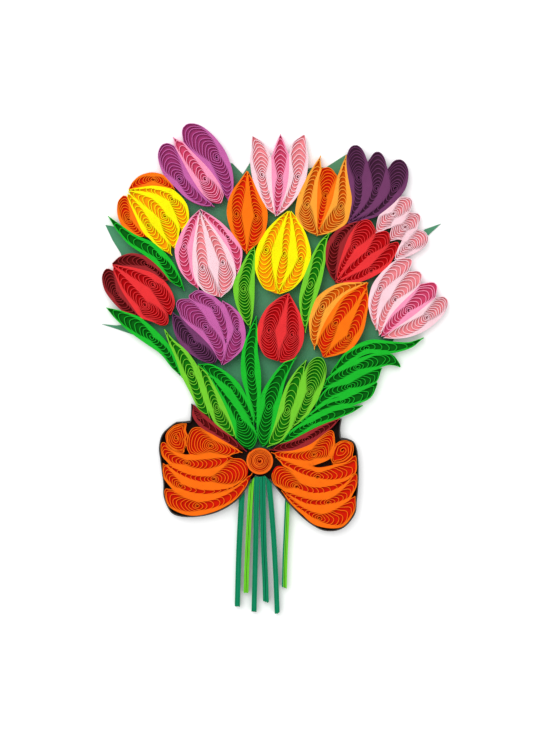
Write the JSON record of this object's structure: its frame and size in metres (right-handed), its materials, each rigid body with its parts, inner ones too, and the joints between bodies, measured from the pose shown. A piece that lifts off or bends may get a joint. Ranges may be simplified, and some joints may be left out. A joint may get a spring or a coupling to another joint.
{
  "type": "quilled paper art",
  "caption": "Flat quilled paper bouquet: tulips and leaves of rolled, pinched paper strips on edge, gathered by a bow with a round knot over straight stems.",
  "frame": {"origin": "under the middle of the bouquet, on the back plane it lies on", "axes": "+Y from the stems' free ends to the topmost petals, +X to the right as seen from the front, +Z out of the paper towards the viewer"},
  "size_m": [0.0834, 0.118, 0.0035],
  "materials": {
    "yellow_paper": "matt",
    "orange_paper": "matt",
    "amber_paper": "matt",
    "pale_pink_paper": "matt",
    "hot_pink_paper": "matt",
    "magenta_paper": "matt",
    "dark_purple_paper": "matt",
    "red_paper": "matt",
    "dark_red_paper": "matt",
    "green_paper": "matt",
    "light_green_paper": "matt",
    "stem_teal_paper": "matt",
    "stem_light_paper": "matt",
    "bow_orange_paper": "matt",
    "bow_sheet_paper": "matt",
    "rim_strip_paper": "matt",
    "green_sheet_paper": "matt"
  },
  "bodies": {
    "root": {"amber_tulip_centre": "orange_paper", "amber_tulip_sides": "amber_paper", "bow_backing": "bow_sheet_paper", "bow_knot": "bow_orange_paper", "bow_left_loop": "bow_orange_paper", "bow_left_top": "bow_orange_paper", "bow_right_loop": "bow_orange_paper", "bow_right_top": "bow_orange_paper", "bow_rim_left": "rim_strip_paper", "bow_rim_right": "rim_strip_paper", "bow_tail_left": "dark_red_paper", "bow_tail_right": "dark_red_paper", "centre_red_tulip": "red_paper", "dark_purple_tulip": "dark_purple_paper", "fan_leaf_1": "green_paper", "fan_leaf_2": "green_paper", "fan_leaf_3": "green_paper", "fan_leaf_4": "green_paper", "fan_leaf_5": "green_paper", "green_backing": "green_sheet_paper", "leaf_bent": "green_paper", "leaf_light_centre": "light_green_paper", "leaf_light_inner": "light_green_paper", "leaf_light_left": "light_green_paper", "leaf_light_long": "light_green_paper", "leaf_light_right": "light_green_paper", "leaf_light_round_top": "light_green_paper", "leaf_lower_left": "green_paper", "leaf_round_foot": "green_paper", "leaf_upper_left": "green_paper", "leaf_upright": "green_paper", "leaf_wide": "green_paper", "left_pink_tulip_inner": "pale_pink_paper", "left_pink_tulip_outer": "hot_pink_paper", "left_red_tulip_inner": "red_paper", "left_red_tulip_outer": "dark_red_paper", "magenta_tulip_centre": "hot_pink_paper", "magenta_tulip_sides": "magenta_paper", "pale_pink_bud": "pale_pink_paper", "right_orange_tulip_inner": "orange_paper", "right_orange_tulip_outer": "amber_paper", "right_pink_tulip_hot": "hot_pink_paper", "right_pink_tulip_pale": "pale_pink_paper", "right_red_tulip_inner": "red_paper", "right_red_tulip_outer": "dark_red_paper", "small_orange_tulip": "orange_paper", "stem_dark_folded": "stem_teal_paper", "stem_dark_left": "stem_teal_paper", "stem_dark_middle": "stem_teal_paper", "stem_dark_right": "stem_teal_paper", "stem_light_left": "stem_light_paper", "stem_light_right": "stem_light_paper", "top_pink_tulip_centre": "hot_pink_paper", "top_pink_tulip_sides": "pale_pink_paper", "violet_tulip_inner": "dark_purple_paper", "violet_tulip_outer": "magenta_paper", "yellow_orange_tulip_inner": "yellow_paper", "yellow_orange_tulip_outer": "orange_paper", "yellow_tulip": "yellow_paper"}
  },
  "joints": []
}
